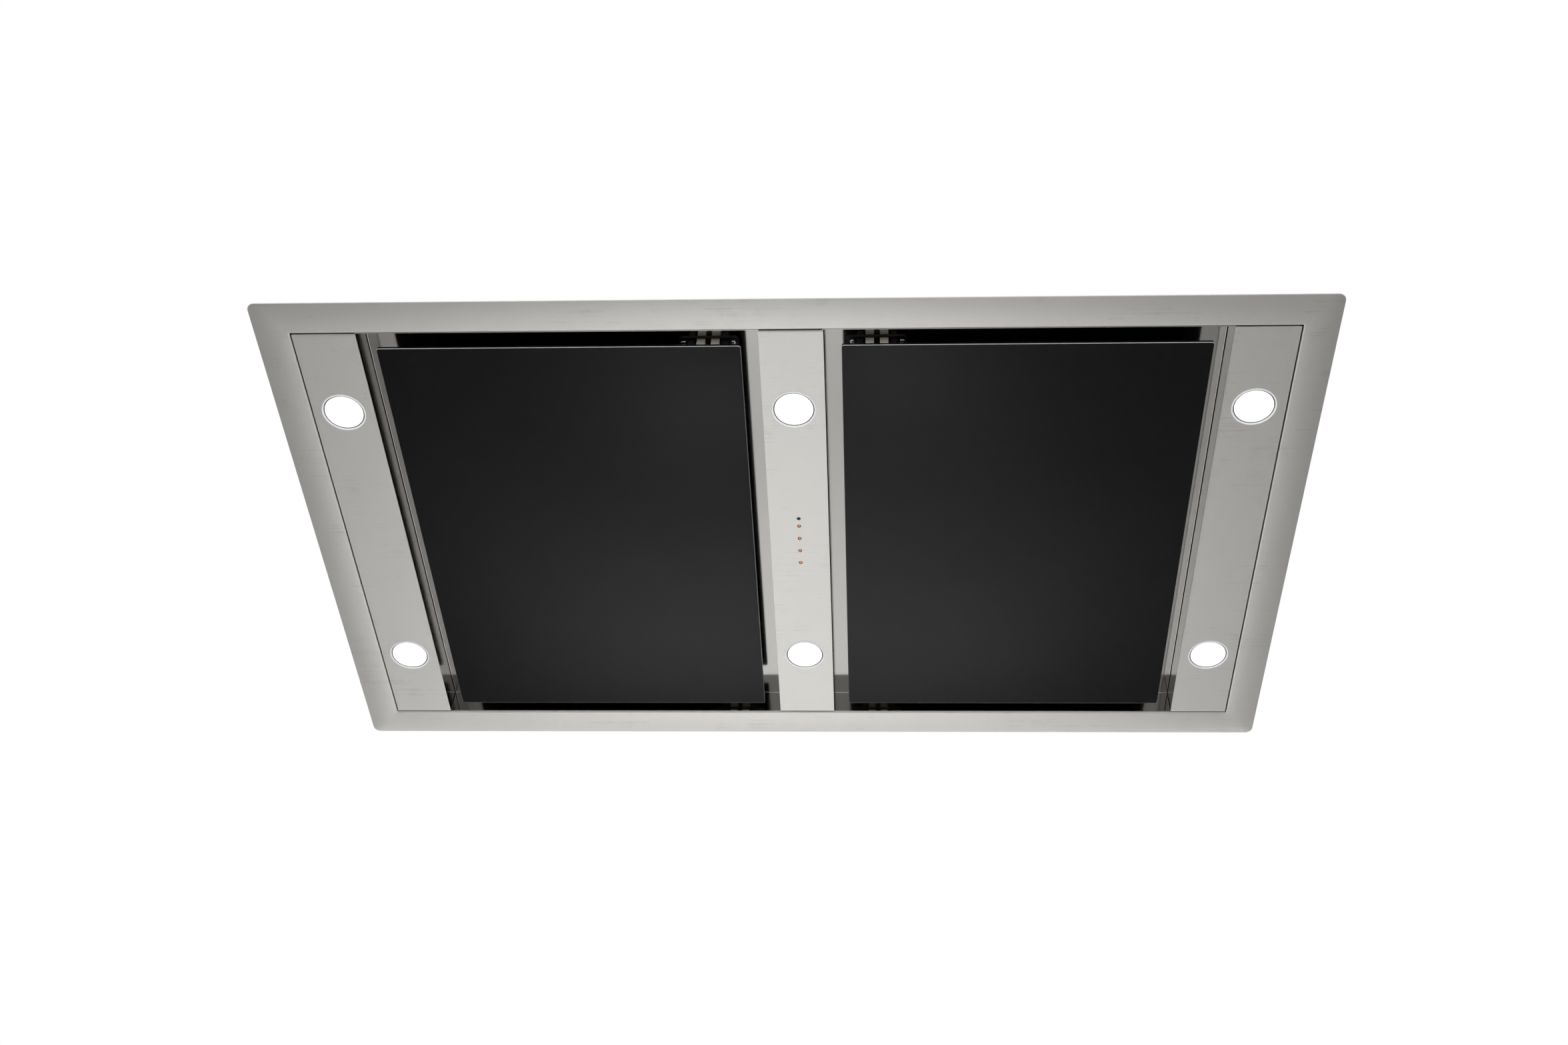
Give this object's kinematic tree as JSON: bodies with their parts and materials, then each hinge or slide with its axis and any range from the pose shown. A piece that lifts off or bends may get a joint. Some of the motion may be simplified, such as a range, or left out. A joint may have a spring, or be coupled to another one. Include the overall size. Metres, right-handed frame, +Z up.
{
  "type": "ceiling range hood",
  "caption": "Flush ceiling range hood with black glass suction panels, light strips, grease filters, a centrifugal blower and a round duct collar.",
  "frame": {"origin": "centre of the ceiling flange's lower face", "axes": "+Z up into the ceiling, +X along the long side, +Y away from the side the control lights are read from"},
  "size_m": [1.2, 0.7, 0.3584],
  "materials": {
    "stainless_brushed": "brushed along the long side",
    "stainless_bright": "bright rolled sheet",
    "galvanised_steel": "galvanised sheet",
    "aluminium": "satin",
    "black_glass": "back-painted black, polished edge",
    "black_paint": "powder coat",
    "cream_nylon": "moulded nylon",
    "lamp_white": "frosted lens, lit",
    "red_indicator": "lit light guide",
    "circuit_board": "solder mask",
    "grey_plastic": "moulded",
    "black_plastic": "moulded"
  },
  "bodies": {
    "hood": {"ceiling_flange": "stainless_brushed", "housing_walls": "galvanised_steel", "housing_top_plate": "galvanised_steel", "hanging_rail_left": "galvanised_steel", "hanging_rail_right": "galvanised_steel", "light_strip_left": "stainless_brushed", "lamp_body_left_near": "aluminium", "lamp_lens_left_near": "lamp_white", "lamp_body_left_far": "aluminium", "lamp_lens_left_far": "lamp_white", "light_strip_centre": "stainless_brushed", "lamp_body_centre_near": "aluminium", "lamp_lens_centre_near": "lamp_white", "lamp_body_centre_far": "aluminium", "lamp_lens_centre_far": "lamp_white", "light_strip_right": "stainless_brushed", "lamp_body_right_near": "aluminium", "lamp_lens_right_near": "lamp_white", "lamp_body_right_far": "aluminium", "lamp_lens_right_far": "lamp_white", "control_board": "circuit_board", "indicator_light_guide": "red_indicator", "receiver_window": "black_plastic", "controller_box": "grey_plastic", "cable_gland": "black_plastic", "recess_liner_left": "stainless_bright", "filter_frame_left": "aluminium", "filter_mesh_left": "aluminium", "hinge_bracket_left_near": "galvanised_steel", "catch_housing_left_near": "stainless_bright", "hinge_bracket_left_far": "galvanised_steel", "catch_housing_left_far": "stainless_bright", "recess_liner_right": "stainless_bright", "filter_frame_right": "aluminium", "filter_mesh_right": "aluminium", "hinge_bracket_right_near": "galvanised_steel", "catch_housing_right_near": "stainless_bright", "hinge_bracket_right_far": "galvanised_steel", "catch_housing_right_far": "stainless_bright", "blower_scroll": "galvanised_steel", "blower_motor": "black_paint", "motor_bracket": "galvanised_steel", "outlet_collar": "galvanised_steel"},
    "panel_left": {"glass_panel_left": "black_glass", "panel_frame_left": "black_paint"},
    "latch_left": {"filter_latch_left": "black_plastic"},
    "jaw_left_near_inner": {"catch_jaw_left_near_inner": "cream_nylon"},
    "jaw_left_near_outer": {"catch_jaw_left_near_outer": "cream_nylon"},
    "jaw_left_far_inner": {"catch_jaw_left_far_inner": "cream_nylon"},
    "jaw_left_far_outer": {"catch_jaw_left_far_outer": "cream_nylon"},
    "panel_right": {"glass_panel_right": "black_glass", "panel_frame_right": "black_paint"},
    "latch_right": {"filter_latch_right": "black_plastic"},
    "jaw_right_near_inner": {"catch_jaw_right_near_inner": "cream_nylon"},
    "jaw_right_near_outer": {"catch_jaw_right_near_outer": "cream_nylon"},
    "jaw_right_far_inner": {"catch_jaw_right_far_inner": "cream_nylon"},
    "jaw_right_far_outer": {"catch_jaw_right_far_outer": "cream_nylon"},
    "wheel": {"impeller": "galvanised_steel"},
    "flap_near": {"damper_flap_near": "galvanised_steel"},
    "flap_far": {"damper_flap_far": "galvanised_steel"}
  },
  "joints": [
    {"name": "panel_left_hinge", "type": "hinge", "parent": "hood", "child": "panel_left", "pos_m": [-0.4519, 0, 0.01], "axis": [0, 1, 0], "range_deg": [0, 90]},
    {"name": "panel_right_hinge", "type": "hinge", "parent": "hood", "child": "panel_right", "pos_m": [0.4519, 0, 0.01], "axis": [0, -1, 0], "range_deg": [0, 90]},
    {"name": "latch_left_slide", "type": "slide", "parent": "hood", "child": "latch_left", "axis": [-1, 0, 0], "range_m": [0, 0.007], "stiffness_N_per_m": 400, "springref_m": -0.004},
    {"name": "latch_right_slide", "type": "slide", "parent": "hood", "child": "latch_right", "axis": [1, 0, 0], "range_m": [0, 0.007], "stiffness_N_per_m": 400, "springref_m": -0.004},
    {"name": "jaw_left_near_inner_slide", "type": "slide", "parent": "hood", "child": "jaw_left_near_inner", "axis": [1, 0, 0], "range_m": [0, 0.0025], "stiffness_N_per_m": 1500, "springref_m": -0.004},
    {"name": "jaw_left_near_outer_slide", "type": "slide", "parent": "hood", "child": "jaw_left_near_outer", "axis": [-1, 0, 0], "range_m": [0, 0.0025], "stiffness_N_per_m": 1500, "springref_m": -0.004},
    {"name": "jaw_left_far_inner_slide", "type": "slide", "parent": "hood", "child": "jaw_left_far_inner", "axis": [1, 0, 0], "range_m": [0, 0.0025], "stiffness_N_per_m": 1500, "springref_m": -0.004},
    {"name": "jaw_left_far_outer_slide", "type": "slide", "parent": "hood", "child": "jaw_left_far_outer", "axis": [-1, 0, 0], "range_m": [0, 0.0025], "stiffness_N_per_m": 1500, "springref_m": -0.004},
    {"name": "jaw_right_near_inner_slide", "type": "slide", "parent": "hood", "child": "jaw_right_near_inner", "axis": [-1, 0, 0], "range_m": [0, 0.0025], "stiffness_N_per_m": 1500, "springref_m": -0.004},
    {"name": "jaw_right_near_outer_slide", "type": "slide", "parent": "hood", "child": "jaw_right_near_outer", "axis": [1, 0, 0], "range_m": [0, 0.0025], "stiffness_N_per_m": 1500, "springref_m": -0.004},
    {"name": "jaw_right_far_inner_slide", "type": "slide", "parent": "hood", "child": "jaw_right_far_inner", "axis": [-1, 0, 0], "range_m": [0, 0.0025], "stiffness_N_per_m": 1500, "springref_m": -0.004},
    {"name": "jaw_right_far_outer_slide", "type": "slide", "parent": "hood", "child": "jaw_right_far_outer", "axis": [1, 0, 0], "range_m": [0, 0.0025], "stiffness_N_per_m": 1500, "springref_m": -0.004},
    {"name": "wheel_spin", "type": "hinge", "parent": "hood", "child": "wheel", "pos_m": [0, -0.09782, 0.18], "axis": [1, 0, 0], "continuous": true},
    {"name": "flap_near_hinge", "type": "hinge", "parent": "hood", "child": "flap_near", "pos_m": [0, 0, 0.3156], "axis": [-1, 0, 0], "range_deg": [0, 75]},
    {"name": "flap_far_hinge", "type": "hinge", "parent": "hood", "child": "flap_far", "pos_m": [0, 0, 0.3156], "axis": [1, 0, 0], "range_deg": [0, 75]}
  ]
}
